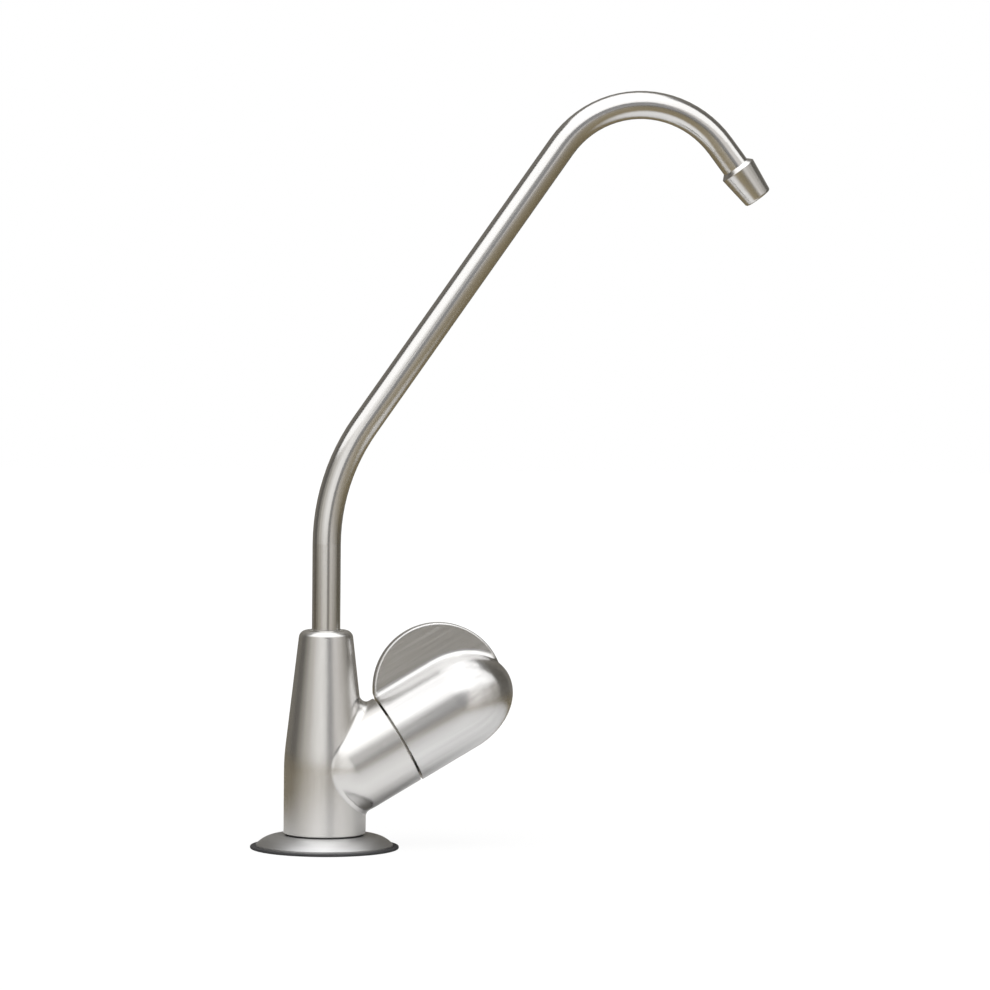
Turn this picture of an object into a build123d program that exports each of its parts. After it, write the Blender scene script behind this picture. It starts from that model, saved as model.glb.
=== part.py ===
from build123d import *

import os
from math import cos, pi, radians, sin, tan

# Drinking water filter tap: a column with a slanted quarter-turn valve, a swivelling gooseneck spout,
# an escutcheon, and a threaded shank that goes through the deck and is clamped from below.
# Millimetres, +Z up. The origin is the centre of the gasket's underside, on the deck.
# At rest the spout and the valve arm both lie in the XZ plane, towards +X, and the valve is closed.

# Fits and cuts that many pieces share
running_gap = 0.05
thread_gap = 0.1
seal_gap = 0.05
seat_gap = 0.3
film_gap = 0.05
overrun = 4.0

# Base: gasket, escutcheon and foot washer
gasket_radius = 25.0
gasket_thickness = 0.9
gasket_round = 0.35
gasket_margin = 2.0
escutcheon_height = 3.6
escutcheon_lip = 0.5
escutcheon_land = 2.0
escutcheon_wall = 1.0
escutcheon_flat_radius = 16.2
escutcheon_crown_radius = 10.0
foot_washer_thickness = 0.5
foot_washer_inset = 0.6

# Column of the body
column_radius = 13.8
column_straight_height = 30.6
column_top_radius = 8.85
column_height = 73.5
column_blend_radius = 80.0
column_shoulder_radius = 2.8
column_foot_chamfer = 0.25

# Valve arm of the body, with stations measured along its axis from where that axis meets the column's
arm_rise_angle = 30.5
arm_root_height = 22.3
arm_radius = 15.9
arm_dome_station = 10.2
arm_junction_radius = 2.5
seam_station = 28.5
seam_gap = 0.75
seam_edge_radius = 0.3

# Water ways
passage_radius = 2.6
outlet_passage_rise = 8.2
supply_socket_radius = 3.25
supply_socket_depth = 12.0

# Shank and what clamps it under the deck
shank_radius = 5.56
shank_drop = 56.0
shank_engagement = 11.5
shank_end_chamfer = 0.8
shank_hole_gap = 0.55
shank_seal_section = 0.85
deck_thickness = 12.0
deck_washer_radius = 17.0
deck_washer_thickness = 3.0
deck_washer_hub_radius = 10.5
deck_washer_hub_height = 2.0
deck_washer_chamfer = 0.6
lock_washer_radius = 9.6
lock_washer_thickness = 0.9
lock_washer_rim_share = 0.72
lock_washer_tooth_count = 12
lock_washer_tooth_share = 0.55
deck_nut_across_flats = 17.5
deck_nut_height = 6.5
deck_nut_bevel_angle = 30.0

# Spout
tube_radius = 4.765
tube_wall = 0.8
spout_riser_length = 28.8
first_bend_radius = 69.5
spout_lean_angle = 35.0
spout_run = 115.8
arch_radius = 34.0
arch_turn_angle = 107.4
spout_tail_run = 10.3

# Nozzle
nozzle_collar_radius = 6.32
nozzle_collar_round = 0.3
nozzle_chamfer_length = 1.3
nozzle_chamfer_depth = 1.3
nozzle_taper_length = 11.9
nozzle_mouth_radius = 4.9
nozzle_mouth_round = 0.8
nozzle_socket_depth = 7.0
nozzle_bore_radius = 3.6

# Spout socket in the column
socket_radius = 5.25
socket_depth = 28.0
bushing_radius = 6.0
bushing_length = 9.0
bushing_recess = 0.4
spout_tail_radius = 5.15
spout_tail_length = 14.5
spout_tail_chamfer = 0.4
spigot_length = 8.0
spout_groove_radius = 3.9
spout_ring_section = 0.62
spout_groove_width = 1.6
spout_first_ring_offset = 2.6
spout_ring_pitch = 3.4
snap_ring_width = 0.9
snap_ring_offset = 11.0
snap_ring_inner_radius = 4.25
snap_ring_outer_radius = 5.65
snap_groove_radius = 5.9
snap_ring_opening_angle = 50.0

# Valve cartridge
pocket_radius = 8.6
pocket_floor_station = 4.0
skirt_radius = 7.6
skirt_bore_radius = 6.6
disc_radius = 6.3
disc_thickness = 3.0
port_inner_radius = 1.3
port_outer_radius = 4.5
port_angle = 76.0
half_turn_angle = 180.0
valve_travel_angle = 90.0
seat_seal_thickness = 2.0
seat_seal_bore_radius = 4.8
foot_radius = 5.6
foot_height = 5.0
foot_cup_radius = 4.4
foot_cup_depth = 3.2
foot_lug_radius = 6.3
foot_lug_angle = 45.0
foot_prong_width = 2.0
foot_prong_length = 1.0
stop_rib_radius = 5.9
stop_margin_angle = 1.0
window_width = 4.0
window_height = 2.4
window_sill = 0.4
skirt_window_count = 4
thrust_washer_thickness = 0.5
stem_radius = 4.0
stem_groove_radius = 3.05
stem_ring_section = 0.45
stem_groove_width = 1.3
stem_first_ring_offset = 3.5
stem_ring_pitch = 3.2
cartridge_thread_radius = 9.0
cartridge_neck_offset = 1.5
face_seal_section = 0.8
flange_radius = 11.4
flange_thickness = 1.8
cartridge_hex_across_flats = 17.0
cartridge_hex_height = 5.0
cartridge_collar_radius = 6.6
cartridge_collar_height = 3.3
clip_play = 0.2
clip_thickness = 0.7
clip_inner_radius = 3.45
clip_outer_radius = 5.2
clip_opening_angle = 70.0
clip_groove_radius = 3.4
spline_offset = 0.5
spline_root_radius = 3.55
spline_length = 10.4
spline_count = 20
spline_tooth_share = 0.5

# Knob and what holds it on the stem
knob_radius = 16.1
knob_barrel_length = 21.6
knob_dome_length = 21.4
dome_fullness = 0.5523
knob_wall = 2.7
fin_radius = 22.1
fin_station = 20.4
fin_rise = 7.8
fin_thickness = 5.0
fin_edge_radius = 0.7
fin_root_radius = 2.5
boss_radius = 9.6
boss_offset = 10.5
insert_radius = 7.0
insert_length = 10.5
insert_recess = 0.4
key_width = 3.0
key_height = 1.0
screw_radius = 2.0
screw_length = 4.8
screw_offset = 5.2
screw_hex_radius = 1.15
screw_hex_depth = 2.2
screw_access_radius = 2.4
screw_chamfer = 0.4

# Heights and stations that follow from the sizes above
escutcheon_top = gasket_thickness + escutcheon_height
body_foot = escutcheon_top + foot_washer_thickness
shank_hole_radius = shank_radius + shank_hole_gap
shank_top = body_foot + shank_engagement
tube_bore_radius = tube_radius - tube_wall
outlet_passage_foot = arm_root_height + outlet_passage_rise
socket_floor = column_height - socket_depth
spout_bend_foot = column_height + spout_riser_length
spout_tail_foot = socket_floor + film_gap
spout_tail_top = spout_tail_foot + spout_tail_length
snap_ring_foot = spout_tail_foot + snap_ring_offset
snap_ring_top = snap_ring_foot + snap_ring_width
bushing_top = column_height - bushing_recess
bushing_foot = bushing_top - bushing_length
arm_face = seam_station - seam_gap / 2
knob_base = seam_station + seam_gap / 2
seat_seal_top = pocket_floor_station + seat_seal_thickness
moving_disc_foot = seat_seal_top + disc_thickness + film_gap
moving_disc_top = moving_disc_foot + disc_thickness
stem_foot_top = moving_disc_top + foot_height
cartridge_shoulder = stem_foot_top + thrust_washer_thickness + film_gap
cartridge_neck = cartridge_shoulder + cartridge_neck_offset
face_seal_depth = (face_seal_section + seal_gap) * 2
flange_top = arm_face + flange_thickness
cartridge_hex_top = flange_top + cartridge_hex_height
cartridge_top = cartridge_hex_top + cartridge_collar_height
clip_foot = cartridge_top + clip_play
clip_top = clip_foot + clip_thickness
spline_foot = clip_top + spline_offset
stem_end = spline_foot + spline_length
boss_face = knob_base + boss_offset
insert_foot = boss_face + insert_recess
insert_top = insert_foot + insert_length
knob_dome_station = knob_base + knob_barrel_length
screw_station = insert_foot + screw_offset
screw_tip = stem_radius + film_gap
screw_head = screw_tip + screw_length
fin_centre = seam_station + fin_station
tube_end_station = nozzle_socket_depth - nozzle_chamfer_length


def section_plane(origin, direction):
    """Half section of a turned piece: local x is the radius, local y the station along direction."""
    return Plane(origin=origin, x_dir=direction.rotate(Axis.Y, 90), z_dir=(0, -1, 0))


def band(inner, outer, low, high, mode=Mode.ADD):
    """Rectangle of a half section, from radius inner to outer and from station low to high."""
    with Locations((inner, low)):
        Rectangle(outer - inner, high - low, align=(Align.MIN, Align.MIN), mode=mode)


def bead(section, inner, middle):
    """Round section of a sealing ring that starts at radius inner and is centred on station middle."""
    with Locations((inner + section, middle)):
        Circle(section)


def wedge(radius, angle, middle=0.0):
    """Sector of a disc, angle degrees wide, about the direction middle."""
    with BuildSketch(Plane.XY) as sector:
        with BuildLine():
            arc = CenterArc((0, 0), radius, middle - angle / 2, angle)
            Line((0, 0), arc @ 0)
            Line(arc @ 1, (0, 0))
        make_face()
    return sector.sketch


# The arm's own axis and the planes that its pieces are drawn on
arm_direction = Vector(1, 0, 0).rotate(Axis.Y, -arm_rise_angle)
arm_origin = Vector(0, 0, arm_root_height)
arm_axis = Axis(arm_origin, arm_direction)
arm_section = section_plane(arm_origin, arm_direction)


def arm_plane(station):
    """Plane square to the arm at a station: local x points down, local y along +Y."""
    down = arm_direction.rotate(Axis.Y, 90)
    return Plane(origin=arm_origin + arm_direction * station, x_dir=down, z_dir=arm_direction)


# Plane square to the knob's set screw: local x runs along the arm
screw_plane = Plane(
    origin=arm_plane(screw_station).origin,
    x_dir=arm_direction,
    z_dir=arm_direction.rotate(Axis.Y, 90),
)

# Centre line of the spout
with BuildLine(Plane.XZ) as spout_line:
    riser = Line((0, spout_tail_top), (0, spout_bend_foot))
    first_bend = JernArc(riser @ 1, riser % 1, first_bend_radius, -spout_lean_angle)
    slant = Line(first_bend @ 1, first_bend @ 1 + (first_bend % 1) * spout_run)
    arch = JernArc(slant @ 1, slant % 1, arch_radius, -arch_turn_angle)
    outlet_direction = arch % 1
    collar_centre = arch @ 1 + outlet_direction * spout_tail_run
    outlet = Line(arch @ 1, collar_centre + outlet_direction * tube_end_station)
nozzle_axis = Axis(collar_centre, outlet_direction)
nozzle_section = section_plane(collar_centre, outlet_direction)

# Base gasket: a rubber ring that shows as a dark line round the escutcheon
with BuildPart() as base_gasket:
    with BuildSketch(Plane.XZ) as gasket_sketch:
        band(shank_hole_radius, gasket_radius, 0, gasket_thickness)
        fillet(gasket_sketch.vertices().group_by(Axis.X)[-1], gasket_round)
    revolve(axis=Axis.Z)

# Escutcheon: a spun dish with an upright lip, hollow below
escutcheon_rim = gasket_radius - gasket_margin
with BuildPart() as escutcheon:
    with BuildSketch(Plane.XZ):
        with BuildLine():
            Polyline(
                (escutcheon_rim, gasket_thickness + escutcheon_lip),
                (escutcheon_rim, gasket_thickness),
                (escutcheon_rim - escutcheon_land, gasket_thickness),
            )
            RadiusArc(
                (escutcheon_rim - escutcheon_land, gasket_thickness),
                (escutcheon_flat_radius, escutcheon_top - escutcheon_wall),
                -escutcheon_crown_radius,
            )
            Polyline(
                (escutcheon_flat_radius, escutcheon_top - escutcheon_wall),
                (shank_hole_radius, escutcheon_top - escutcheon_wall),
                (shank_hole_radius, escutcheon_top),
                (escutcheon_flat_radius, escutcheon_top),
            )
            RadiusArc(
                (escutcheon_flat_radius, escutcheon_top),
                (escutcheon_rim, gasket_thickness + escutcheon_lip),
                escutcheon_crown_radius,
            )
        make_face()
    revolve(axis=Axis.Z)

# Foot washer: a thin fibre ring, set in a little, between the escutcheon and the body
with BuildPart() as foot_washer:
    with BuildSketch(Plane.XZ):
        band(shank_hole_radius, column_radius - foot_washer_inset, escutcheon_top, body_foot)
    revolve(axis=Axis.Z)

# Body: column and valve arm in one casting, bored for shank, cartridge and spout
shank_recess_height = (shank_seal_section + seal_gap) * 2
with BuildPart() as tap_body:
    with BuildSketch(Plane.XZ) as column_sketch:
        with BuildLine():
            Polyline(
                (0, body_foot),
                (column_radius, body_foot),
                (column_radius, column_straight_height),
                (column_top_radius, column_height),
                (0, column_height),
                close=True,
            )
        make_face()
        flank_corner = (column_radius, column_straight_height)
        shoulder_corner = (column_top_radius, column_height)
        foot_corner = (column_radius, body_foot)
        fillet(column_sketch.vertices().sort_by_distance(flank_corner)[0], column_blend_radius)
        fillet(column_sketch.vertices().sort_by_distance(shoulder_corner)[0], column_shoulder_radius)
        chamfer(column_sketch.vertices().sort_by_distance(foot_corner)[0], column_foot_chamfer)
    revolve(axis=Axis.Z)
    with BuildSketch(arm_section) as arm_sketch:
        with BuildLine():
            CenterArc((0, arm_dome_station), arm_radius, -90, 90)
            Polyline(
                (arm_radius, arm_dome_station),
                (arm_radius, arm_face),
                (0, arm_face),
                (0, arm_dome_station - arm_radius),
            )
        make_face()
        fillet(arm_sketch.vertices().sort_by_distance((arm_radius, arm_face))[0], seam_edge_radius)
    revolve(axis=arm_axis)
    fillet(tap_body.edges(Select.NEW), arm_junction_radius)
    with BuildSketch(arm_section):
        band(0, passage_radius, -passage_radius, pocket_floor_station)
        band(0, pocket_radius, pocket_floor_station, cartridge_neck)
        band(0, cartridge_thread_radius + thread_gap, cartridge_neck, arm_face + overrun)
        face_seal_outer = cartridge_thread_radius + (face_seal_section + seal_gap) * 2
        band(0, face_seal_outer + seal_gap, arm_face - face_seal_depth, arm_face + overrun)
    revolve(axis=arm_axis, mode=Mode.SUBTRACT)
    with BuildSketch(Plane.XZ):
        band(0, passage_radius, 0, arm_root_height)
        band(0, shank_radius + thread_gap, 0, shank_top)
        shank_seal_outer = shank_radius + (shank_seal_section + seal_gap) * 2
        band(0, shank_seal_outer + seal_gap, 0, body_foot + shank_recess_height)
        band(0, passage_radius, outlet_passage_foot, socket_floor)
        band(0, socket_radius, socket_floor, bushing_foot)
        band(0, snap_groove_radius, snap_ring_foot - seat_gap, snap_ring_top + seat_gap)
        band(0, bushing_radius + seal_gap, bushing_foot, column_height + overrun)
    revolve(axis=Axis.Z, mode=Mode.SUBTRACT)

# Threaded shank: screwed into the body's foot, bored through, with the supply tube's socket below
with BuildPart() as threaded_shank:
    with BuildSketch(Plane.XZ) as shank_sketch:
        band(passage_radius, shank_radius, -shank_drop, shank_top - seat_gap)
        chamfer(shank_sketch.vertices().group_by(Axis.X)[-1], shank_end_chamfer)
        socket_top = supply_socket_depth - shank_drop
        band(0, supply_socket_radius, -shank_drop, socket_top, mode=Mode.SUBTRACT)
    revolve(axis=Axis.Z)

# Shank seal: an O-ring in the body's foot
with BuildPart() as shank_seal:
    with BuildSketch(Plane.XZ):
        bead(shank_seal_section, shank_radius + seal_gap, body_foot + shank_seal_section + seal_gap)
    revolve(axis=Axis.Z)

# Deck washer: a plastic disc with a hub, against the deck's underside
deck_washer_foot = -deck_thickness - deck_washer_thickness
deck_washer_hub_foot = deck_washer_foot - deck_washer_hub_height
with BuildPart() as deck_washer:
    with BuildSketch(Plane.XZ) as deck_washer_sketch:
        band(shank_hole_radius, deck_washer_radius, deck_washer_foot, -deck_thickness)
        band(shank_hole_radius, deck_washer_hub_radius, deck_washer_hub_foot, deck_washer_foot)
        chamfer(deck_washer_sketch.vertices().group_by(Axis.X)[-1], deck_washer_chamfer)
    revolve(axis=Axis.Z)

# Lock washer: a thin ring with teeth round its edge
lock_washer_foot = deck_washer_hub_foot - lock_washer_thickness
lock_washer_rim = lock_washer_radius * lock_washer_rim_share
lock_tooth_width = 2 * pi * lock_washer_rim / lock_washer_tooth_count * lock_washer_tooth_share
with BuildPart() as lock_washer:
    with BuildSketch(Plane.XY.offset(lock_washer_foot)):
        Circle(lock_washer_rim)
        with PolarLocations(0, lock_washer_tooth_count):
            Rectangle(lock_washer_radius, lock_tooth_width, align=(Align.MIN, Align.CENTER))
        Circle(shank_radius + thread_gap, mode=Mode.SUBTRACT)
    extrude(amount=lock_washer_thickness)

# Deck nut: a hexagon nut with both rims bevelled
deck_nut_foot = lock_washer_foot - deck_nut_height
deck_nut_corner = deck_nut_across_flats / 2 / cos(radians(30))
deck_nut_fall = (deck_nut_corner - deck_nut_across_flats / 2) * tan(radians(deck_nut_bevel_angle))
with BuildPart() as deck_nut:
    with BuildSketch(Plane.XY.offset(deck_nut_foot)):
        RegularPolygon(deck_nut_across_flats / 2, 6, major_radius=False)
        Circle(shank_radius + thread_gap, mode=Mode.SUBTRACT)
    extrude(amount=deck_nut_height)
    with BuildSketch(Plane.XZ):
        with BuildLine():
            Polyline(
                (0, deck_nut_foot),
                (deck_nut_across_flats / 2, deck_nut_foot),
                (deck_nut_corner, deck_nut_foot + deck_nut_fall),
                (deck_nut_corner, lock_washer_foot - deck_nut_fall),
                (deck_nut_across_flats / 2, lock_washer_foot),
                (0, lock_washer_foot),
                close=True,
            )
        make_face()
    revolve(axis=Axis.Z, mode=Mode.INTERSECT)

# Seat seal: a rubber ring between the pocket's floor and the fixed disc
with BuildPart() as seat_seal:
    with BuildSketch(arm_section):
        band(seat_seal_bore_radius, disc_radius, pocket_floor_station, seat_seal_top)
    revolve(axis=arm_axis)


def ported_disc(turn):
    """Outline of a ceramic disc with two opposite ports, turned by an angle about the arm."""
    Circle(disc_radius)
    for side in (turn, turn + half_turn_angle):
        add(wedge(port_outer_radius, port_angle, side), mode=Mode.SUBTRACT)
    Circle(port_inner_radius)


# Fixed disc: its ports lie up and down
with BuildPart() as fixed_disc:
    with BuildSketch(arm_plane(seat_seal_top)):
        ported_disc(0)
    extrude(amount=disc_thickness)

# Moving disc: its ports stand a valve's travel short of the fixed ones, so the valve is shut at rest
with BuildPart() as moving_disc:
    with BuildSketch(arm_plane(moving_disc_foot)):
        ported_disc(-valve_travel_angle)
    extrude(amount=disc_thickness)
    with BuildSketch(arm_plane(moving_disc_top)):
        with PolarLocations(disc_radius, 2):
            slot_depth = (disc_radius - foot_cup_radius) * 2
            Rectangle(slot_depth, foot_prong_width + seal_gap * 2)
    extrude(amount=-foot_prong_length - seal_gap, mode=Mode.SUBTRACT)

# Cartridge body: skirt round the discs, threaded neck, flange, hexagon and collar
stop_angle = valve_travel_angle + foot_lug_angle + stop_margin_angle * 2
window_low = moving_disc_top + window_sill
with BuildPart() as cartridge_body:
    with BuildSketch(arm_section):
        band(skirt_bore_radius, skirt_radius, seat_seal_top, cartridge_neck)
        band(stem_radius + running_gap, skirt_radius, cartridge_shoulder, cartridge_neck)
        band(stem_radius + running_gap, cartridge_thread_radius, cartridge_neck, arm_face)
        band(stem_radius + running_gap, flange_radius, arm_face, flange_top)
        band(stem_radius + running_gap, cartridge_collar_radius, flange_top, cartridge_top)
    revolve(axis=arm_axis)
    with BuildSketch(arm_plane(flange_top)):
        RegularPolygon(cartridge_hex_across_flats / 2, 6, major_radius=False)
        Circle(stem_radius + running_gap, mode=Mode.SUBTRACT)
    extrude(amount=cartridge_hex_height)
    with BuildSketch(arm_plane(moving_disc_top)):
        Circle(skirt_radius)
        Circle(stop_rib_radius, mode=Mode.SUBTRACT)
        add(wedge(skirt_bore_radius, stop_angle, valve_travel_angle / 2), mode=Mode.SUBTRACT)
    extrude(amount=foot_height)
    with BuildSketch(arm_plane(window_low)):
        with PolarLocations(0, skirt_window_count):
            Rectangle(skirt_radius + overrun, window_width, align=(Align.MIN, Align.CENTER))
    extrude(amount=window_height, mode=Mode.SUBTRACT)

# Face seal: an O-ring round the cartridge's neck, under its flange
with BuildPart() as face_seal:
    with BuildSketch(arm_section):
        seal_middle = arm_face - face_seal_section - seal_gap
        bead(face_seal_section, cartridge_thread_radius + seal_gap, seal_middle)
    revolve(axis=arm_axis)

# Valve stem: a cupped foot that drives the disc, a grooved shaft and a splined end
stem_ring_middles = [
    cartridge_shoulder + stem_first_ring_offset + stem_ring_pitch * ring for ring in range(2)
]


def splined_outline(root, tip, clearance=0.0):
    """Outline of a splined shaft, or with a clearance the hole that it slides in."""
    tooth_width = 2 * pi * root / spline_count * spline_tooth_share + clearance * 2
    Circle(root + clearance)
    with PolarLocations(0, spline_count):
        Rectangle(tip + clearance, tooth_width, align=(Align.MIN, Align.CENTER))


with BuildPart() as valve_stem:
    with BuildSketch(arm_section):
        band(0, foot_radius, moving_disc_top, stem_foot_top)
        band(0, stem_radius, stem_foot_top, spline_foot)
        band(0, foot_cup_radius, moving_disc_top, moving_disc_top + foot_cup_depth, mode=Mode.SUBTRACT)
        for middle in stem_ring_middles:
            half = stem_groove_width / 2
            band(stem_groove_radius, stem_radius, middle - half, middle + half, mode=Mode.SUBTRACT)
        clip_low = clip_foot - film_gap
        clip_high = clip_top + film_gap
        band(clip_groove_radius, stem_radius, clip_low, clip_high, mode=Mode.SUBTRACT)
    revolve(axis=arm_axis)
    with BuildSketch(arm_plane(spline_foot)):
        splined_outline(spline_root_radius, stem_radius)
    extrude(amount=spline_length)
    with BuildSketch(arm_plane(moving_disc_top)):
        add(wedge(foot_lug_radius, foot_lug_angle))
        Circle(foot_cup_radius, mode=Mode.SUBTRACT)
    extrude(amount=foot_height)
    with BuildSketch(arm_plane(moving_disc_top)):
        with PolarLocations(foot_cup_radius, 2):
            Rectangle(foot_radius - foot_cup_radius, foot_prong_width, align=(Align.MIN, Align.CENTER))
    extrude(amount=-foot_prong_length)
    with BuildSketch(arm_plane(window_low)):
        with PolarLocations(0, 2, start_angle=valve_travel_angle):
            Rectangle(foot_radius + overrun, window_width, align=(Align.MIN, Align.CENTER))
    extrude(amount=window_height, mode=Mode.SUBTRACT)

# Thrust washer: a plastic ring between the stem's foot and the cartridge's shoulder
with BuildPart() as thrust_washer:
    with BuildSketch(arm_section):
        band(stem_radius + running_gap, foot_radius, stem_foot_top, stem_foot_top + thrust_washer_thickness)
    revolve(axis=arm_axis)

# Stem O-rings: two, in the shaft's grooves
with BuildPart() as stem_o_rings:
    with BuildSketch(arm_section):
        for middle in stem_ring_middles:
            bead(stem_ring_section, stem_groove_radius + seal_gap, middle)
    revolve(axis=arm_axis)

# Stem clip: an open spring ring that keeps the stem in the cartridge
with BuildPart() as stem_clip:
    with BuildSketch(arm_plane(clip_foot)):
        Circle(clip_outer_radius)
        Circle(clip_inner_radius, mode=Mode.SUBTRACT)
        add(wedge(clip_outer_radius + overrun, clip_opening_angle), mode=Mode.SUBTRACT)
    extrude(amount=clip_thickness)

# Knob insert: a keyed plastic sleeve that fits the splines
with BuildPart() as knob_insert:
    with BuildSketch(arm_plane(insert_foot)):
        Circle(insert_radius)
        with Locations((-insert_radius, 0)):
            Rectangle(key_height * 2, key_width)
        with BuildSketch(mode=Mode.SUBTRACT):
            splined_outline(spline_root_radius, stem_radius, running_gap)
    extrude(amount=insert_length)
    with BuildSketch(screw_plane):
        Circle(screw_radius + thread_gap)
    extrude(amount=insert_radius + overrun, mode=Mode.SUBTRACT)

# Fin of the knob: a round plate with a rounded edge, cut off level with the knob's base
fin_middle = arm_plane(fin_centre).from_local_coords((-fin_rise, 0))
with BuildPart() as fin:
    with BuildSketch(Plane(origin=fin_middle, x_dir=arm_direction, z_dir=arm_plane(0).x_dir)) as fin_sketch:
        Rectangle(fin_radius, fin_thickness, align=(Align.MIN, Align.CENTER))
        fillet(fin_sketch.vertices().group_by(Axis.X)[-1], fin_edge_radius)
    revolve(axis=Axis(fin_middle, (0, 1, 0)))
    split(bisect_by=arm_plane(knob_base))


def dome_face(radius, length):
    """Half section of the knob's dome, as wide and as long as asked."""
    with BuildSketch(Plane.XY) as face:
        with BuildLine():
            Bezier(
                (radius, knob_dome_station),
                (radius, knob_dome_station + length * dome_fullness),
                (radius * dome_fullness, knob_dome_station + length),
                (0, knob_dome_station + length),
            )
            Polyline(
                (0, knob_dome_station + length),
                (0, knob_dome_station),
                (radius, knob_dome_station),
            )
        make_face()
    return face.sketch


# Knob: barrel and bullet-shaped dome with the fin along the top, hollow round a keyed boss
inner_radius = knob_radius - knob_wall
inner_dome_length = knob_dome_length - knob_wall
with BuildPart() as knob:
    with BuildSketch(arm_section):
        band(0, knob_radius, knob_base, knob_dome_station)
        add(dome_face(knob_radius, knob_dome_length))
    revolve(axis=arm_axis)
    add(fin.part)
    fillet(knob.edges(Select.NEW), fin_root_radius)
    with BuildSketch(arm_section):
        band(0, inner_radius, knob_base, boss_face)
        band(boss_radius, inner_radius, boss_face, knob_dome_station)
    revolve(axis=arm_axis, mode=Mode.SUBTRACT)
    with BuildSketch(arm_section):
        add(dome_face(inner_radius, inner_dome_length))
        inner_dome_top = knob_dome_station + inner_dome_length
        band(0, boss_radius, knob_dome_station, inner_dome_top, mode=Mode.SUBTRACT)
    revolve(axis=arm_axis, mode=Mode.SUBTRACT)
    with BuildSketch(arm_plane(boss_face)):
        Circle(insert_radius + seal_gap)
        with Locations((-insert_radius, 0)):
            Rectangle((key_height + seal_gap) * 2, key_width + seal_gap * 2)
    extrude(amount=insert_top - boss_face, mode=Mode.SUBTRACT)
    with BuildSketch(screw_plane):
        Circle(screw_radius + thread_gap)
    extrude(amount=boss_radius + overrun / 2, mode=Mode.SUBTRACT)
    with BuildSketch(screw_plane.offset(boss_radius)):
        Circle(screw_access_radius)
    extrude(amount=knob_radius, mode=Mode.SUBTRACT)

# Knob set screw: grips the stem through the boss and the insert, below the arm
with BuildPart() as knob_set_screw:
    with BuildSketch(screw_plane.offset(screw_tip)):
        Circle(screw_radius)
    extrude(amount=screw_length)
    chamfer(knob_set_screw.faces().sort_by(Axis.Z)[0].edges(), screw_chamfer)
    with BuildSketch(screw_plane.offset(screw_head)):
        RegularPolygon(screw_hex_radius, 6)
    extrude(amount=-screw_hex_depth, mode=Mode.SUBTRACT)

# Spout tube: one bent tube from the column to the nozzle
with BuildPart() as spout_tube:
    with BuildSketch(Plane.XY.offset(spout_tail_top)):
        Circle(tube_radius)
        Circle(tube_bore_radius, mode=Mode.SUBTRACT)
    sweep(path=spout_line.line)

# Spout tail: a brass plug in the tube's foot, grooved for two O-rings and a snap ring
spout_ring_middles = [
    spout_tail_foot + spout_first_ring_offset + spout_ring_pitch * ring for ring in range(2)
]
with BuildPart() as spout_tail:
    with BuildSketch(Plane.XZ) as tail_sketch:
        band(passage_radius, spout_tail_radius, spout_tail_foot, spout_tail_top)
        chamfer(tail_sketch.vertices().group_by(Axis.X)[-1], spout_tail_chamfer)
        spigot_top = spout_tail_top + spigot_length
        band(passage_radius, tube_bore_radius - running_gap, spout_tail_top, spigot_top)
        for middle in spout_ring_middles:
            half = spout_groove_width / 2
            band(spout_groove_radius, spout_tail_radius, middle - half, middle + half, mode=Mode.SUBTRACT)
        clip_low = snap_ring_foot - film_gap
        clip_high = snap_ring_top + film_gap
        band(snap_ring_inner_radius - film_gap, spout_tail_radius, clip_low, clip_high, mode=Mode.SUBTRACT)
    revolve(axis=Axis.Z)

# Spout O-rings: two, in the tail's grooves
with BuildPart() as spout_o_rings:
    with BuildSketch(Plane.XZ):
        for middle in spout_ring_middles:
            bead(spout_ring_section, spout_groove_radius + seal_gap, middle)
    revolve(axis=Axis.Z)

# Spout snap ring: an open ring, half in the tail's groove and half in the socket's
with BuildPart() as spout_snap_ring:
    with BuildSketch(Plane.XY.offset(snap_ring_foot)):
        Circle(snap_ring_outer_radius)
        Circle(snap_ring_inner_radius, mode=Mode.SUBTRACT)
        add(wedge(snap_ring_outer_radius + overrun, snap_ring_opening_angle), mode=Mode.SUBTRACT)
    extrude(amount=snap_ring_width)

# Spout bushing: a plastic sleeve that guides the tube in the column's mouth
with BuildPart() as spout_bushing:
    with BuildSketch(Plane.XZ):
        band(tube_radius + running_gap, bushing_radius, bushing_foot, bushing_top)
    revolve(axis=Axis.Z)

# Nozzle: chamfered collar and a taper, with the tube's socket above and the outlet's bore below
nozzle_lip_radius = nozzle_collar_radius - nozzle_chamfer_depth
with BuildPart() as nozzle:
    with BuildSketch(nozzle_section) as nozzle_sketch:
        with BuildLine():
            Polyline(
                (nozzle_bore_radius, -nozzle_chamfer_length),
                (nozzle_lip_radius, -nozzle_chamfer_length),
                (nozzle_collar_radius, 0),
                (nozzle_mouth_radius, nozzle_taper_length),
                (nozzle_bore_radius, nozzle_taper_length),
                close=True,
            )
        make_face()
        mouth_corner = (nozzle_mouth_radius, nozzle_taper_length)
        collar_corner = (nozzle_collar_radius, 0)
        fillet(nozzle_sketch.vertices().sort_by_distance(mouth_corner)[0], nozzle_mouth_round)
        fillet(nozzle_sketch.vertices().sort_by_distance(collar_corner)[0], nozzle_collar_round)
        band(0, tube_radius + running_gap, -nozzle_chamfer_length, tube_end_station, mode=Mode.SUBTRACT)
    revolve(axis=nozzle_axis)

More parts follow.
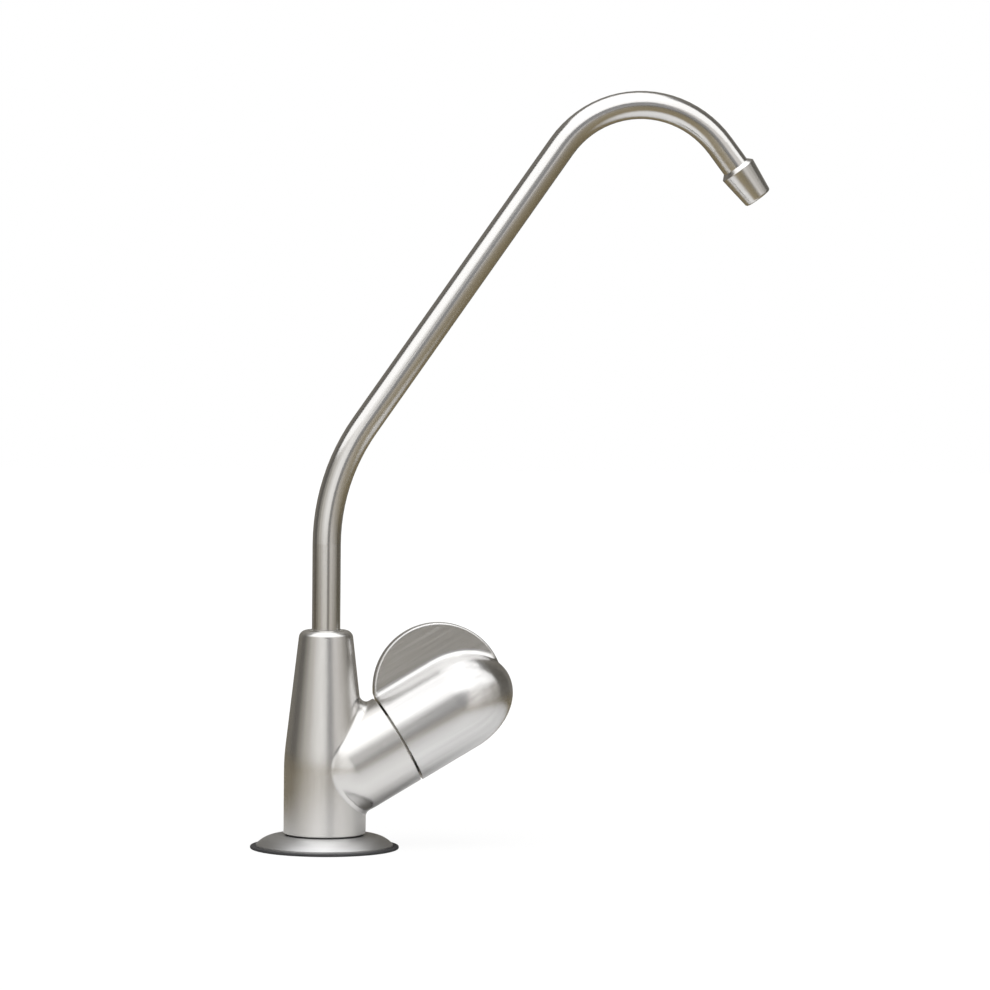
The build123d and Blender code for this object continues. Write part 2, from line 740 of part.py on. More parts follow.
parts = {
    "base_gasket": base_gasket,
    "escutcheon": escutcheon,
    "foot_washer": foot_washer,
    "tap_body": tap_body,
    "threaded_shank": threaded_shank,
    "shank_seal": shank_seal,
    "deck_washer": deck_washer,
    "lock_washer": lock_washer,
    "deck_nut": deck_nut,
    "seat_seal": seat_seal,
    "fixed_disc": fixed_disc,
    "moving_disc": moving_disc,
    "cartridge_body": cartridge_body,
    "face_seal": face_seal,
    "valve_stem": valve_stem,
    "thrust_washer": thrust_washer,
    "stem_o_rings": stem_o_rings,
    "stem_clip": stem_clip,
    "knob_insert": knob_insert,
    "knob": knob,
    "knob_set_screw": knob_set_screw,
    "spout_tube": spout_tube,
    "spout_tail": spout_tail,
    "spout_o_rings": spout_o_rings,
    "spout_snap_ring": spout_snap_ring,
    "spout_bushing": spout_bushing,
    "nozzle": nozzle,
}

os.makedirs("parts", exist_ok=True)
for name, piece in parts.items():
    piece.part.label = name
    export_step(piece.part, f"parts/{name}.step")
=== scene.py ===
"""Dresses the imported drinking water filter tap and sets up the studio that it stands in.

Every node keeps its CAD shape and gets a finish. Lengths are in metres unless a name says
otherwise, +Z is up, and the deck is at z = 0.
"""

import logging
from dataclasses import dataclass, field
from enum import Enum
from math import cos, pi, radians, sin

import bmesh
import bpy
from mathutils import Euler, Matrix, Vector

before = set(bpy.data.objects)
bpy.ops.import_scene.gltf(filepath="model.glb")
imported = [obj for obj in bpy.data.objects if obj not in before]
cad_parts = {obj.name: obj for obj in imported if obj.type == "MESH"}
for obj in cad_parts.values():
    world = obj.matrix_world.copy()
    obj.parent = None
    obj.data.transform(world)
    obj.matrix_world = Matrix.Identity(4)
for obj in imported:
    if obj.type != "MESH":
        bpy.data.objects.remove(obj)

LOG = logging.getLogger("filter_tap")
MM = 0.001
ARM_RISE = radians(30.5)
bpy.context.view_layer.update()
# The shader counts its rotation in whole turns
QUARTER_TURN = 0.25
# Nearly all values of a noise lie between these two
NOISE_LOW, NOISE_HIGH = 0.3, 0.7
OBJECT_TO_WORLD = {"vector_type": "VECTOR", "convert_from": "OBJECT", "convert_to": "WORLD"}
WHITE = (1.0, 1.0, 1.0, 1.0)


def linear_colour(code: str) -> tuple[float, float, float, float]:
    """Turns an sRGB hex value to a linear colour.

    Args:
        code: Six hex digits after a hash sign.

    Returns:
        Red, green, blue and an alpha of 1.
    """
    channels = [int(code[start : start + 2], 16) / 255 for start in (1, 3, 5)]
    # The curve and its numbers are those of the sRGB standard
    red, green, blue = [
        value / 12.92 if value <= 0.04045 else ((value + 0.055) / 1.055) ** 2.4
        for value in channels
    ]
    return red, green, blue, 1.0


def add_node(
    tree: bpy.types.NodeTree,
    kind: str,
    attributes: dict[str, object] | None = None,
    inputs: dict[str | int, object] | None = None,
) -> bpy.types.Node:
    """Adds a shader node with its settings and its incoming links.

    Args:
        tree: Node tree that gets the node.
        kind: Blender's type name for the node.
        attributes: Values of the node's own properties.
        inputs: Values of its inputs by name or number, or the sockets that feed them.

    Returns:
        The new node.
    """
    node = tree.nodes.new(kind)
    for name, value in (attributes or {}).items():
        setattr(node, name, value)
    for name, value in (inputs or {}).items():
        if isinstance(value, bpy.types.NodeSocket):
            tree.links.new(value, node.inputs[name])
        else:
            node.inputs[name].default_value = value
    return node


def new_tree(name: str) -> tuple[bpy.types.Material, bpy.types.NodeTree]:
    """Makes an empty node material.

    Args:
        name: The material's name.

    Returns:
        The material and its node tree.
    """
    material = bpy.data.materials.new(name)
    material.use_nodes = True
    material.node_tree.nodes.clear()
    return material, material.node_tree


class Brushing(Enum):
    """Which way the belt or the lathe tool left its lines on a surface."""

    ALONG_ARM = "along the arm"
    BODY = "upright on the column and along the arm on the arm"
    ALONG_SPOUT = "along the spout"
    SPUN = "round the vertical axis"


@dataclass(frozen=True)
class SatinNickel:
    """Satin nickel plate, belt brushed.

    Fine parallel lines spread each highlight across the lines, and the warm grey is the
    colour of nickel itself.
    """

    name: str
    brushing: Brushing
    light_tint: str = "#E4E3E1"
    dark_tint: str = "#D8D6D4"
    roughness: float = 0.23
    roughness_spread: float = 0.06
    anisotropy: float = 0.75
    # A real belt leaves lines of about 0.05 mm: they are drawn wider so that they show
    line_width_mm: float = 0.35
    line_length_mm: float = 26.0
    line_octaves: float = 3.0
    streak_width_mm: float = 2.2
    streak_length_mm: float = 70.0
    streak_octaves: float = 2.0
    bump_mm: float = 0.006
    bump_strength: float = 0.25
    # The lines change direction just outside the column's largest radius
    column_edge_mm: tuple[float, float] = (13.9, 14.4)

    def lines(
        self, tree: bpy.types.NodeTree, width_mm: float, length_mm: float, detail: float
    ) -> bpy.types.NodeSocket:
        """Adds the noise of one set of brushed lines.

        Args:
            tree: The material's node tree.
            width_mm: Width of a line.
            length_mm: Length of a line.
            detail: Octaves of the noise.

        Returns:
            The noise's value, from 0 to 1.
        """
        place = add_node(tree, "ShaderNodeTexCoord").outputs["Object"]
        across, along = 1 / (width_mm * MM), 1 / (length_mm * MM)
        if self.brushing is Brushing.SPUN:
            place = self.ring_place(tree, place)
        scales = {
            Brushing.ALONG_ARM: (across, across, along),
            Brushing.BODY: (across, across, along),
            # The spout bends in the XZ plane, so its lines are long both ways in that plane
            Brushing.ALONG_SPOUT: (along, across, along),
            Brushing.SPUN: (across, along, across),
        }
        scale = scales[self.brushing]
        upright, slanted = (0, 0, 0), (0, ARM_RISE - pi / 2, 0)
        turn = slanted if self.brushing is Brushing.ALONG_ARM else upright
        noise = self.mapped_noise(tree, place, turn, scale, detail)
        if self.brushing is not Brushing.BODY:
            return noise
        arm_noise = self.mapped_noise(tree, place, slanted, scale, detail)
        choice = {0: self.outside_column(tree, place), 2: noise, 3: arm_noise}
        return add_node(tree, "ShaderNodeMix", {"data_type": "FLOAT"}, choice).outputs[0]

    @staticmethod
    def ring_place(
        tree: bpy.types.NodeTree, place: bpy.types.NodeSocket
    ) -> bpy.types.NodeSocket:
        """Turns a place into its distance from the vertical axis and its height.

        Args:
            tree: The material's node tree.
            place: Place on the piece.

        Returns:
            The distance, zero and the height, on which a pattern makes rings.
        """
        parts = add_node(tree, "ShaderNodeSeparateXYZ", inputs={0: place}).outputs
        flat = add_node(tree, "ShaderNodeCombineXYZ", inputs={0: parts[0], 1: parts[1]})
        radius = add_node(
            tree, "ShaderNodeVectorMath", {"operation": "LENGTH"}, {0: flat.outputs[0]}
        )
        ring = {0: radius.outputs["Value"], 2: parts[2]}
        return add_node(tree, "ShaderNodeCombineXYZ", inputs=ring).outputs[0]

    @staticmethod
    def mapped_noise(
        tree: bpy.types.NodeTree,
        place: bpy.types.NodeSocket,
        turn: tuple[float, float, float],
        scale: tuple[float, float, float],
        detail: float,
    ) -> bpy.types.NodeSocket:
        """Adds a noise on a turned and scaled place.

        Args:
            tree: The material's node tree.
            place: Place on the piece.
            turn: Rotation of the pattern, in radians.
            scale: Noise cells per metre along each turned axis.
            detail: Octaves of the noise.

        Returns:
            The noise's value.
        """
        turned = add_node(
            tree, "ShaderNodeMapping", {"vector_type": "POINT"}, {"Vector": place, "Rotation": turn}
        )
        scaled = add_node(
            tree, "ShaderNodeMapping", inputs={"Vector": turned.outputs[0], "Scale": scale}
        )
        noise = add_node(
            tree,
            "ShaderNodeTexNoise",
            inputs={"Vector": scaled.outputs[0], "Scale": 1.0, "Detail": detail},
        )
        return noise.outputs["Fac"]

    def outside_column(
        self, tree: bpy.types.NodeTree, place: bpy.types.NodeSocket
    ) -> bpy.types.NodeSocket:
        """Adds a value that is 0 on the column and 1 outside its radius, on the arm.

        Args:
            tree: The material's node tree.
            place: Place on the piece.

        Returns:
            The value.
        """
        flat = add_node(
            tree, "ShaderNodeVectorMath", {"operation": "MULTIPLY"}, {0: place, 1: (1, 1, 0)}
        )
        radius = add_node(
            tree, "ShaderNodeVectorMath", {"operation": "LENGTH"}, {0: flat.outputs[0]}
        )
        inner, outer = [edge * MM for edge in self.column_edge_mm]
        outside = add_node(
            tree,
            "ShaderNodeMapRange",
            inputs={0: radius.outputs["Value"], 1: inner, 2: outer, 3: 0.0, 4: 1.0},
        )
        return outside.outputs[0]

    def grain(self, tree: bpy.types.NodeTree) -> bpy.types.NodeSocket:
        """Adds the direction of the brushed lines, across which they spread the highlights.

        Args:
            tree: The material's node tree.

        Returns:
            The direction in the scene.
        """
        spot = add_node(tree, "ShaderNodeTexCoord").outputs
        cross = {"operation": "CROSS_PRODUCT"}
        if self.brushing is Brushing.ALONG_SPOUT:
            sides = {0: spot["Normal"], 1: (0, 1, 0)}
            line = add_node(tree, "ShaderNodeVectorMath", cross, sides).outputs[0]
        elif self.brushing is Brushing.SPUN:
            sides = {0: (0, 0, 1), 1: spot["Object"]}
            line = add_node(tree, "ShaderNodeVectorMath", cross, sides).outputs[0]
        else:
            on_arm: float | bpy.types.NodeSocket = 1.0
            if self.brushing is Brushing.BODY:
                on_arm = self.outside_column(tree, spot["Object"])
            arm = (cos(ARM_RISE), 0, sin(ARM_RISE))
            choice = {0: on_arm, 4: (0, 0, 1), 5: arm}
            line = add_node(tree, "ShaderNodeMix", {"data_type": "VECTOR"}, choice).outputs[1]
        turned = add_node(tree, "ShaderNodeVectorTransform", OBJECT_TO_WORLD, {0: line})
        return turned.outputs[0]

    def material(self) -> bpy.types.Material:
        """Builds the finish's material."""
        material, tree = new_tree(self.name)
        fine = self.lines(tree, self.line_width_mm, self.line_length_mm, self.line_octaves)
        broad = self.lines(tree, self.streak_width_mm, self.streak_length_mm, self.streak_octaves)
        rough = add_node(
            tree,
            "ShaderNodeMapRange",
            inputs={
                0: fine,
                1: NOISE_LOW,
                2: NOISE_HIGH,
                3: self.roughness - self.roughness_spread / 2,
                4: self.roughness + self.roughness_spread / 2,
            },
        )
        tint = add_node(
            tree,
            "ShaderNodeMix",
            {"data_type": "RGBA"},
            {0: broad, 6: linear_colour(self.dark_tint), 7: linear_colour(self.light_tint)},
        )
        bump = add_node(
            tree,
            "ShaderNodeBump",
            inputs={
                "Height": fine,
                "Distance": self.bump_mm * MM,
                "Strength": self.bump_strength,
            },
        )
        shader = add_node(
            tree,
            "ShaderNodeBsdfPrincipled",
            inputs={
                "Base Color": tint.outputs[2],
                "Metallic": 1.0,
                "Roughness": rough.outputs[0],
                "Normal": bump.outputs[0],
                "Anisotropic": self.anisotropy,
                "Anisotropic Rotation": QUARTER_TURN,
                "Tangent": self.grain(tree),
            },
        )
        add_node(tree, "ShaderNodeOutputMaterial", inputs={"Surface": shader.outputs[0]})
        return material


@dataclass(frozen=True)
class PlainMetal:
    """Machined or rolled metal without a brushed grain: tool marks show as faint soft patches."""

    name: str
    light_tint: str
    dark_tint: str
    roughness: float
    roughness_shares: tuple[float, float] = (0.8, 1.25)
    # Tool marks lie closer than the eye can see: what shows is patches of this width
    patch_mm: float = 1.6
    patch_octaves: float = 4.0

    def material(self) -> bpy.types.Material:
        """Builds the finish's material."""
        material, tree = new_tree(self.name)
        place = add_node(tree, "ShaderNodeTexCoord").outputs["Object"]
        patches = add_node(
            tree,
            "ShaderNodeTexNoise",
            inputs={
                "Vector": place,
                "Scale": 1 / (self.patch_mm * MM),
                "Detail": self.patch_octaves,
            },
        )
        rough = add_node(
            tree,
            "ShaderNodeMapRange",
            inputs={
                0: patches.outputs["Fac"],
                1: NOISE_LOW,
                2: NOISE_HIGH,
                3: self.roughness * self.roughness_shares[0],
                4: self.roughness * self.roughness_shares[1],
            },
        )
        tint = add_node(
            tree,
            "ShaderNodeMix",
            {"data_type": "RGBA"},
            {
                0: patches.outputs["Fac"],
                6: linear_colour(self.dark_tint),
                7: linear_colour(self.light_tint),
            },
        )
        shader = add_node(
            tree,
            "ShaderNodeBsdfPrincipled",
            inputs={
                "Base Color": tint.outputs[2],
                "Metallic": 1.0,
                "Roughness": rough.outputs[0],
            },
        )
        add_node(tree, "ShaderNodeOutputMaterial", inputs={"Surface": shader.outputs[0]})
        return material


@dataclass(frozen=True)
class Moulded:
    """Moulded rubber or plastic, or pressed ceramic: a fine even grain under its gloss."""

    name: str
    light_tint: str
    dark_tint: str
    roughness: float
    # A real grain is under 0.1 mm: it is drawn wider so that it shows
    grain_mm: float
    bump_mm: float = 0.01
    ior: float = 1.5
    grain_octaves: float = 5.0
    bump_strength: float = 0.5

    def material(self) -> bpy.types.Material:
        """Builds the finish's material."""
        material, tree = new_tree(self.name)
        place = add_node(tree, "ShaderNodeTexCoord").outputs["Object"]
        grain = add_node(
            tree,
            "ShaderNodeTexNoise",
            inputs={
                "Vector": place,
                "Scale": 1 / (self.grain_mm * MM),
                "Detail": self.grain_octaves,
            },
        )
        tint = add_node(
            tree,
            "ShaderNodeMix",
            {"data_type": "RGBA"},
            {
                0: grain.outputs["Fac"],
                6: linear_colour(self.dark_tint),
                7: linear_colour(self.light_tint),
            },
        )
        bump = add_node(
            tree,
            "ShaderNodeBump",
            inputs={
                "Height": grain.outputs["Fac"],
                "Distance": self.bump_mm * MM,
                "Strength": self.bump_strength,
            },
        )
        shader = add_node(
            tree,
            "ShaderNodeBsdfPrincipled",
            inputs={
                "Base Color": tint.outputs[2],
                "Roughness": self.roughness,
                "IOR": self.ior,
                "Normal": bump.outputs[0],
            },
        )
        add_node(tree, "ShaderNodeOutputMaterial", inputs={"Surface": shader.outputs[0]})
        return material


class Finish(Enum):
    """The finishes of the tap, each shared by the pieces that have it."""

    # Soft bands run up the column and along the arm, with hardly a line to be seen
    BODY_NICKEL = SatinNickel(
        "satin nickel on the casting",
        Brushing.BODY,
        roughness=0.24,
        roughness_spread=0.03,
        anisotropy=0.6,
        bump_strength=0.08,
    )
    # The dullest of the nickel: one wide soft highlight goes over the dish, in faint rings. Its
    # tints are darker than the rest of the nickel: this is painted shade on the same plating, not a
    # different metal
    DISH_NICKEL_PAINTED_DARKER = SatinNickel(
        "satin nickel on the dish, painted darker as shade",
        Brushing.SPUN,
        # Painted shade: the same nickel as the casting, given darker tints so that the whole dish
        # reflects less
        light_tint="#C2C2C2",
        dark_tint="#B3B3B3",
        roughness=0.44,
        anisotropy=0.3,
    )
    # Faint light and dark streaks run the length of the barrel and of the fin
    KNOB_NICKEL = SatinNickel(
        "satin nickel on the knob",
        Brushing.ALONG_ARM,
        light_tint="#ECEBEA",
        dark_tint="#CAC9C8",
        bump_strength=0.12,
    )
    # The sharpest mirror: light and dark stripes follow the spout with clear edges
    TUBE_NICKEL = SatinNickel(
        "satin nickel on the tube",
        Brushing.ALONG_SPOUT,
        roughness=0.175,
        roughness_spread=0.02,
        anisotropy=0.2,
        bump_strength=0.04,
    )
    # The tube's stripes go on down the nozzle, a little softer
    NOZZLE_NICKEL = SatinNickel(
        "satin nickel on the nozzle",
        Brushing.ALONG_SPOUT,
        roughness=0.2,
        roughness_spread=0.02,
        anisotropy=0.2,
        bump_strength=0.04,
    )
    # An even warm shine without lines, on fittings that nobody sees once they are in place
    PLAIN_NICKEL = PlainMetal("plain nickel plate", "#CFCBC3", "#B9B4AB", roughness=0.28)
    # Darker and cooler than nickel, so that rings and screws stand apart
    SPRING_STEEL = PlainMetal("spring steel", "#A9AAAC", "#8F9092", roughness=0.3)
    # Yellow and a little glossier, as cut metal is
    BRASS = PlainMetal("machined brass", "#E0C283", "#CBA862", roughness=0.24)
    # Nearly black and dull, like the line that it draws under the dish
    RUBBER = Moulded("moulded rubber", "#2B2B2D", "#1C1C1E", roughness=0.62, grain_mm=0.4)
    # Dark grey with a soft sheen, as the joint over the dish and the disc under the deck
    DARK_PLASTIC = Moulded("black nylon", "#333335", "#262628", roughness=0.5, grain_mm=0.5)
    # Milky white with a soft sheen
    ACETAL = Moulded("white acetal", "#E9E8E2", "#DCDAD2", roughness=0.4, grain_mm=0.8)
    # Creamy white with the hard gloss of a ground face
    CERAMIC = Moulded(
        "lapped alumina",
        "#F3F0E8",
        "#EAE6DC",
        roughness=0.15,
        grain_mm=0.3,
        bump_mm=0.002,
        ior=1.76,
    )


# Each finish's material, made when the first piece gets it
MATERIALS: dict[Finish, bpy.types.Material] = {}


def dress(piece: bpy.types.Object, finish: Finish) -> None:
    """Gives a piece one finish all over.

    Args:
        piece: The CAD node.
        finish: The finish that it gets.
    """
    if finish not in MATERIALS:
        MATERIALS[finish] = finish.value.material()
    piece.data.materials.clear()
    piece.data.materials.append(MATERIALS[finish])
    LOG.info("%s is dressed in %s", piece.name, finish.value.name)


@dataclass
class SubAssembly:
    """Pieces that are fitted together, with the finish of each."""

    title: str
    finishes: dict[str, Finish] = field(default_factory=dict)

    def build(self) -> None:
        """Dresses the sub-assembly's CAD nodes."""
        LOG.info("building %s", self.title)
        for node, finish in self.finishes.items():
            dress(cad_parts[node], finish)


BASE = SubAssembly(
    "the base",
    {
        "base_gasket": Finish.RUBBER,
        "escutcheon": Finish.DISH_NICKEL_PAINTED_DARKER,
        "foot_washer": Finish.DARK_PLASTIC,
    },
)
COLUMN = SubAssembly(
    "the column and its fittings",
    {
        "tap_body": Finish.BODY_NICKEL,
        "shank_seal": Finish.RUBBER,
        "spout_bushing": Finish.ACETAL,
    },
)
BELOW_DECK = SubAssembly(
    "the clamping parts below the deck",
    {
        "threaded_shank": Finish.PLAIN_NICKEL,
        "deck_washer": Finish.DARK_PLASTIC,
        "lock_washer": Finish.SPRING_STEEL,
        "deck_nut": Finish.PLAIN_NICKEL,
    },
)
CARTRIDGE = SubAssembly(
    "the valve cartridge",
    {
        "cartridge_body": Finish.PLAIN_NICKEL,
        "valve_stem": Finish.BRASS,
        "face_seal": Finish.RUBBER,
        "seat_seal": Finish.RUBBER,
        "stem_o_rings": Finish.RUBBER,
        "fixed_disc": Finish.CERAMIC,
        "moving_disc": Finish.CERAMIC,
        "thrust_washer": Finish.ACETAL,
        "stem_clip": Finish.SPRING_STEEL,
    },
)
KNOB = SubAssembly(
    "the knob",
    {
        "knob": Finish.KNOB_NICKEL,
        "knob_insert": Finish.ACETAL,
        "knob_set_screw": Finish.SPRING_STEEL,
    },
)
SPOUT = SubAssembly(
    "the spout",
    {
        "spout_tube": Finish.TUBE_NICKEL,
        "nozzle": Finish.NOZZLE_NICKEL,
        "spout_tail": Finish.BRASS,
        "spout_o_rings": Finish.RUBBER,
        "spout_snap_ring": Finish.SPRING_STEEL,
    },
)


def outward(azimuth: float, elevation: float) -> Vector:
    """Points from the tap towards a part of the studio.

    Args:
        azimuth: Degrees to the viewer's right of the viewer.
        elevation: Degrees above the horizon.

    Returns:
        A direction of length 1.
    """
    turn, rise = radians(azimuth), radians(elevation)
    return Vector((sin(turn) * cos(rise), -cos(turn) * cos(rise), sin(rise)))


@dataclass(frozen=True)
class Panel:
    """A curved studio panel round the tap, which the metal mirrors and the camera doesn't see.

    Its section runs straight from one distance and height to another, and is swept about the
    tap from one azimuth to another. Azimuth 0 is towards the viewer, and positive azimuths are
    to the viewer's right.
    """

    name: str
    start: float
    end: float
    near: tuple[float, float]
    far: tuple[float, float]
    shade: str
    strength: float = 1.0
    steps: int = 24

    def build(self) -> bpy.types.Object:
        """Sweeps the panel and paints it with its own even glow.

        Returns:
            The panel's object.
        """
        mesh = bmesh.new()
        ends = [
            mesh.verts.new(outward(self.start, 0) * distance + Vector((0, 0, height)))
            for distance, height in (self.near, self.far)
        ]
        bmesh.ops.spin(
            mesh,
            geom=[*ends, mesh.edges.new(ends)],
            cent=(0, 0, 0),
            axis=(0, 0, 1),
            angle=radians(self.end - self.start),
            steps=self.steps,
            use_merge=False,
        )
        data = bpy.data.meshes.new(self.name)
        mesh.to_mesh(data)
        mesh.free()
        panel = bpy.data.objects.new(self.name, data)
        bpy.context.collection.objects.link(panel)
        panel.visible_camera = False
        panel.visible_diffuse = False
        panel.visible_shadow = False
        material, tree = new_tree(f"{self.name} paint")
        glow = add_node(
            tree,
            "ShaderNodeEmission",
            inputs={"Color": linear_colour(self.shade), "Strength": self.strength},
        )
        add_node(tree, "ShaderNodeOutputMaterial", inputs={"Surface": glow.outputs[0]})
        data.materials.append(material)
        return panel


@dataclass(frozen=True)
class Softbox:
    """A lamp behind a square of white cloth, turned to the tap."""

    name: str
    azimuth: float
    elevation: float
    distance: float
    side: float
    watts: float

    def build(self) -> bpy.types.Object:
        """Hangs the lamp.

        Returns:
            The lamp's object.
        """
        facing = outward(self.azimuth, self.elevation)
        data = bpy.data.lights.new(self.name, "AREA")
        data.size = self.side
        data.energy = self.watts
        lamp = bpy.data.objects.new(self.name, data)
        lamp.location = facing * self.distance
        lamp.rotation_euler = facing.to_track_quat("Z", "Y").to_euler()
        bpy.context.collection.objects.link(lamp)
        return lamp


# Each is a distance from the tap and a height above the deck
WALL_FOOT = (2.5, 0.0)
LOW_WINDOW_TOP = (2.5, 0.7)
WALL_TOP = (2.5, 1.6)
REAR_WALL_TOP = (2.5, 4.2)
CLOTH_EDGE = (0.87, 0.565)
REAR_CLOTH_EDGE = (0.45, 1.0)
CLOTH_TOP = (0.05, 1.2)
CURTAIN_FOOT = (0.9, 0.0)
CURTAIN_TOP = (0.9, 1.5)
# Over white, because a lit cloth is brighter than what it lights
CLOTH_GLOW = 1.32
PANELS = (
    Panel("front ceiling cloth", -95, 82, CLOTH_EDGE, CLOTH_TOP, "#FFFFFF", CLOTH_GLOW),
    Panel("rear ceiling cloth", 82, 265, REAR_CLOTH_EDGE, CLOTH_TOP, "#FFFFFF", CLOTH_GLOW),
    Panel("left wall, far", -125, -95, WALL_FOOT, REAR_WALL_TOP, "#66635F"),
    Panel("left wall", -95, -75, WALL_FOOT, WALL_TOP, "#99968F"),
    Panel("left wall, near", -75, -52, WALL_FOOT, WALL_TOP, "#C6C3BD"),
    Panel("left window side", -52, -36, WALL_FOOT, WALL_TOP, "#E7E5E2"),
    Panel("left window", -36, -13, WALL_FOOT, WALL_TOP, "#FFFEFC"),
    Panel("low window", -13, -2, WALL_FOOT, LOW_WINDOW_TOP, "#FFFEFC"),
    Panel("low window head", -13, -2, LOW_WINDOW_TOP, WALL_TOP, "#A09F9D"),
    Panel("front wall", -2, 18, WALL_FOOT, LOW_WINDOW_TOP, "#929293"),
    Panel("front wall head", -2, 18, LOW_WINDOW_TOP, WALL_TOP, "#828282"),
    Panel("right window", 18, 42, WALL_FOOT, WALL_TOP, "#E4E1DE"),
    Panel("right window side", 42, 62, WALL_FOOT, WALL_TOP, "#CCC9C5"),
    Panel("right wall", 62, 82, WALL_FOOT, WALL_TOP, "#A9A6A0"),
    Panel("right wall, far", 82, 125, WALL_FOOT, REAR_WALL_TOP, "#66635D"),
    Panel("back curtain", 125, 235, CURTAIN_FOOT, CURTAIN_TOP, "#7C7871"),
)
LAMPS = (
    Softbox("overhead softbox", azimuth=-10, elevation=72, distance=1.6, side=1.4, watts=44.0),
)


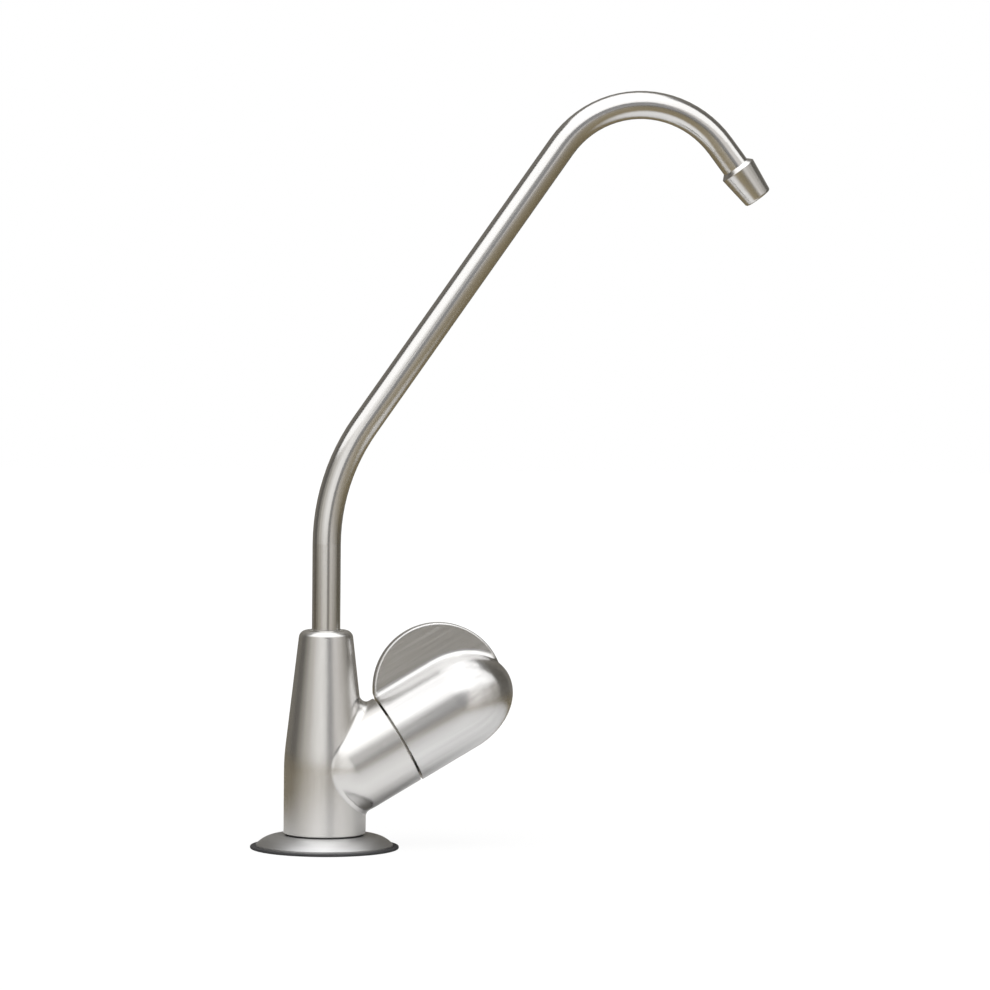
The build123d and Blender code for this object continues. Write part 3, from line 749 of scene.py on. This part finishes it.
@dataclass
class Studio:
    """Camera, floor, panels and lamps of a plain product photograph."""

    # The place and the angles at which the tap's outline falls on that in the photograph
    camera_place: Vector = field(default_factory=lambda: Vector((-0.15234, -1.24068, 0.153)))
    camera_heading: float = 9.582
    camera_pitch: float = -1.549
    camera_roll: float = 0.5
    lens_mm: float = 135.45
    sensor_mm: float = 36.0
    nearest_seen: float = 0.01
    farthest_seen: float = 50.0
    floor_size: float = 12.0
    floor_roughness: float = 0.2
    sheet_tint: str = "#C5C5C5"
    table_tint: str = "#736952"
    sheet_centre: tuple[float, float, float] = (0.08, -0.04, 0.0)
    sheet_squeeze: tuple[float, float, float] = (0.7, 1.0, 1.0)
    sheet_edge: tuple[float, float] = (0.09, 0.22)
    shadow_share: float = 0.12
    shadow_reach: tuple[float, float] = (0.12, 0.5)
    # Over 1, so that the shadow near the tap fades into a clean white
    white_level: float = 1.07
    world_white: float = 1.0
    world_light: float = 0.25

    def camera(self) -> bpy.types.Object:
        """Makes the camera at the photograph's own place.

        Returns:
            The camera's object.
        """
        data = bpy.data.cameras.new("camera")
        data.lens = self.lens_mm
        data.sensor_width = self.sensor_mm
        data.clip_start = self.nearest_seen
        data.clip_end = self.farthest_seen
        camera = bpy.data.objects.new("camera", data)
        aim = Euler((radians(90 + self.camera_pitch), 0, radians(-self.camera_heading)))
        roll = Matrix.Rotation(radians(self.camera_roll), 4, "Z")
        place = Matrix.Translation(self.camera_place)
        camera.matrix_world = place @ aim.to_matrix().to_4x4() @ roll
        bpy.context.collection.objects.link(camera)
        bpy.context.scene.camera = camera
        return camera

    @staticmethod
    def distance(
        tree: bpy.types.NodeTree,
        centre: tuple[float, float, float],
        reach: tuple[float, float],
        values: tuple[float, float],
        squeeze: tuple[float, float, float] = (1.0, 1.0, 1.0),
    ) -> bpy.types.NodeSocket:
        """Adds a value that changes with the distance from a centre.

        Args:
            tree: The floor's node tree.
            centre: The centre on the floor.
            reach: Distances at which the change begins and ends.
            values: Values up to the first distance and from the second on.
            squeeze: Share of the distance that counts along each axis.

        Returns:
            The value.
        """
        place = add_node(tree, "ShaderNodeTexCoord").outputs["Object"]
        offset = add_node(
            tree, "ShaderNodeVectorMath", {"operation": "SUBTRACT"}, {0: place, 1: centre}
        )
        counted = add_node(
            tree,
            "ShaderNodeVectorMath",
            {"operation": "MULTIPLY"},
            {0: offset.outputs[0], 1: squeeze},
        )
        distance = add_node(
            tree, "ShaderNodeVectorMath", {"operation": "LENGTH"}, {0: counted.outputs[0]}
        )
        change = add_node(
            tree,
            "ShaderNodeMapRange",
            {"interpolation_type": "SMOOTHSTEP"},
            {
                0: distance.outputs["Value"],
                1: reach[0],
                2: reach[1],
                3: values[0],
                4: values[1],
            },
        )
        return change.outputs[0]

    def floor(self) -> bpy.types.Object:
        """Makes the floor: white to the camera but for a faint shadow near the tap.

        The metal mirrors it as a satin sheet, light grey, on a brown table.

        Returns:
            The floor's object.
        """
        mesh = bmesh.new()
        bmesh.ops.create_grid(mesh, x_segments=1, y_segments=1, size=self.floor_size / 2)
        data = bpy.data.meshes.new("floor")
        mesh.to_mesh(data)
        mesh.free()
        floor = bpy.data.objects.new("floor", data)
        bpy.context.collection.objects.link(floor)
        material, tree = new_tree("white sheet on a table")
        camera = add_node(tree, "ShaderNodeLightPath").outputs["Is Camera Ray"]
        sheet = self.distance(
            tree, self.sheet_centre, self.sheet_edge, (1.0, 0.0), self.sheet_squeeze
        )
        bright = add_node(tree, "ShaderNodeMath", {"operation": "MAXIMUM"}, {0: sheet, 1: camera})
        tint = add_node(
            tree,
            "ShaderNodeMix",
            {"data_type": "RGBA"},
            {
                0: bright.outputs[0],
                6: linear_colour(self.table_tint),
                7: linear_colour(self.sheet_tint),
            },
        )
        paint = add_node(
            tree,
            "ShaderNodeBsdfPrincipled",
            inputs={"Base Color": tint.outputs[2], "Roughness": self.floor_roughness},
        )
        white = add_node(
            tree,
            "ShaderNodeEmission",
            inputs={"Color": WHITE, "Strength": self.white_level},
        )
        shares = (1 - self.shadow_share, 1.0)
        shown = {0: camera, 1: self.distance(tree, (0, 0, 0), self.shadow_reach, shares)}
        part = add_node(tree, "ShaderNodeMath", {"operation": "MULTIPLY"}, shown)
        mixed = add_node(
            tree,
            "ShaderNodeMixShader",
            inputs={0: part.outputs[0], 1: paint.outputs[0], 2: white.outputs[0]},
        )
        add_node(tree, "ShaderNodeOutputMaterial", inputs={"Surface": mixed.outputs[0]})
        data.materials.append(material)
        return floor

    def world(self) -> None:
        """Sets a white surround for the camera, and an even grey light for everything else."""
        world = bpy.data.worlds.new("studio")
        world.use_nodes = True
        tree = world.node_tree
        tree.nodes.clear()
        light, white = [
            add_node(tree, "ShaderNodeBackground", inputs={"Color": WHITE, "Strength": strength})
            for strength in (self.world_light, self.world_white)
        ]
        path = add_node(tree, "ShaderNodeLightPath").outputs
        shown = {0: path["Is Camera Ray"], 1: light.outputs[0], 2: white.outputs[0]}
        mixed = add_node(tree, "ShaderNodeMixShader", inputs=shown)
        add_node(tree, "ShaderNodeOutputWorld", inputs={"Surface": mixed.outputs[0]})
        bpy.context.scene.world = world

    def build(self) -> None:
        """Sets up the whole studio."""
        self.world()
        self.floor()
        self.camera()
        for fitting in (*LAMPS, *PANELS):
            fitting.build()
        LOG.info("the studio is set up with %d lamps and %d panels", len(LAMPS), len(PANELS))


def main() -> None:
    """Dresses the tap, piece by piece, and sets up the studio."""
    logging.basicConfig(level=logging.INFO, format="%(message)s")
    bpy.context.scene.view_settings.view_transform = "Standard"
    for part in (BASE, COLUMN, BELOW_DECK, CARTRIDGE, KNOB, SPOUT):
        part.build()
    Studio().build()


if __name__ == "__main__":
    main()
